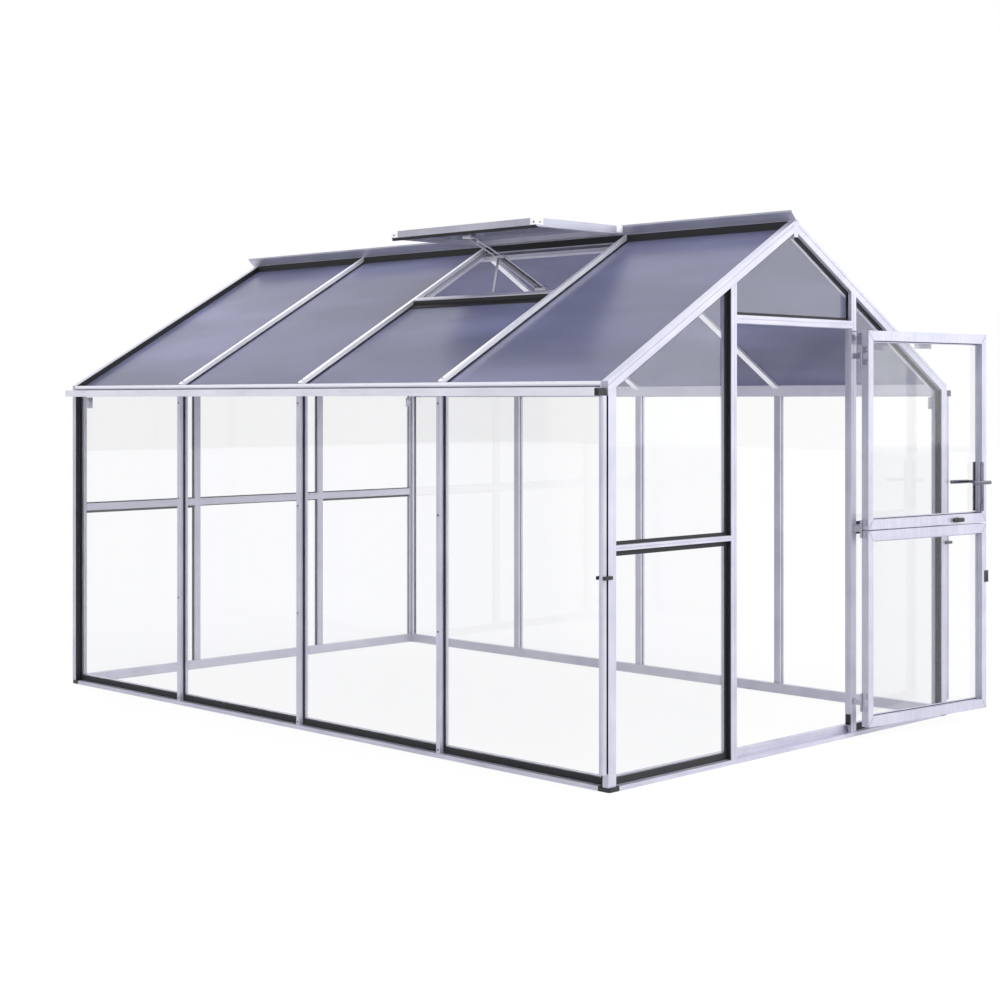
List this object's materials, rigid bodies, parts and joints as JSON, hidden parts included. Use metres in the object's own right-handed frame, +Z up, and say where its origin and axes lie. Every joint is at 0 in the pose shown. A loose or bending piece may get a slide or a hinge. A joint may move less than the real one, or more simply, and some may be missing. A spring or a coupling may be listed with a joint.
{
  "type": "greenhouse",
  "caption": "glass greenhouse with an aluminium frame, a pitched roof with an open roof vent, gutters with downpipes, and a two-leaf stable door standing open in the gable",
  "frame": {"origin": "middle of the underside of the front sill", "axes": "+Z up; +Y from the door gable to the back gable; +X to the right when facing the door gable"},
  "size_m": [2.607, 4.1233, 2.3654],
  "materials": {
    "frame_aluminium": "mill-finish extruded aluminium, lightly brushed",
    "wall_glass": "clear horticultural glass",
    "roof_glass": "clear glass, greyer in the roof",
    "seal_rubber": "black glazing seal",
    "black_plastic": "black moulded plastic",
    "white_plastic": "light moulded end caps",
    "fittings_metal": "satin metal fittings"
  },
  "bodies": {
    "frame": {"front_sill": "frame_aluminium", "back_sill": "frame_aluminium", "side_sills": "frame_aluminium", "sill_corner_caps": "black_plastic", "corner_posts": "frame_aluminium", "door_posts": "frame_aluminium", "back_posts": "frame_aluminium", "side_wall_bars": "frame_aluminium", "gable_transoms": "frame_aluminium", "door_head_rail": "frame_aluminium", "eave_beams": "frame_aluminium", "gutters": "frame_aluminium", "gutter_outlets": "black_plastic", "downpipes": "frame_aluminium", "downpipe_clips": "black_plastic", "front_rafters": "frame_aluminium", "back_rafters": "frame_aluminium", "roof_bars": "frame_aluminium", "ridge_beam": "frame_aluminium", "ridge_end_caps": "white_plastic", "roof_vent_sill": "frame_aluminium", "roof_vent_frame": "frame_aluminium", "roof_vent_glass": "roof_glass", "vent_opener": "fittings_metal", "side_wall_glass": "wall_glass", "front_glass": "wall_glass", "back_glass": "wall_glass", "left_roof_glass": "roof_glass", "right_roof_glass": "roof_glass", "side_wall_seals": "seal_rubber", "gable_seals": "seal_rubber", "roof_seals": "seal_rubber", "door_hinge_brackets": "fittings_metal"},
    "upper_door": {"upper_door_frame": "frame_aluminium", "upper_door_glass": "wall_glass", "upper_door_beads": "frame_aluminium", "upper_door_hinges": "fittings_metal", "door_handle": "fittings_metal", "door_turn_latch": "black_plastic", "door_stay_plate": "fittings_metal"},
    "lower_door": {"lower_door_frame": "frame_aluminium", "lower_door_glass": "wall_glass", "lower_door_beads": "frame_aluminium", "lower_door_hinges": "fittings_metal", "lower_door_latch": "black_plastic"}
  },
  "joints": [
    {"name": "upper_door_hinge", "type": "hinge", "parent": "frame", "child": "upper_door", "pos_m": [0.434, -0.07, 1.4], "axis": [0, 0, -1], "range_deg": [0, 173.4]},
    {"name": "lower_door_hinge", "type": "hinge", "parent": "frame", "child": "lower_door", "pos_m": [0.434, -0.07, 0.5], "axis": [0, 0, -1], "range_deg": [0, 173.4]}
  ]
}
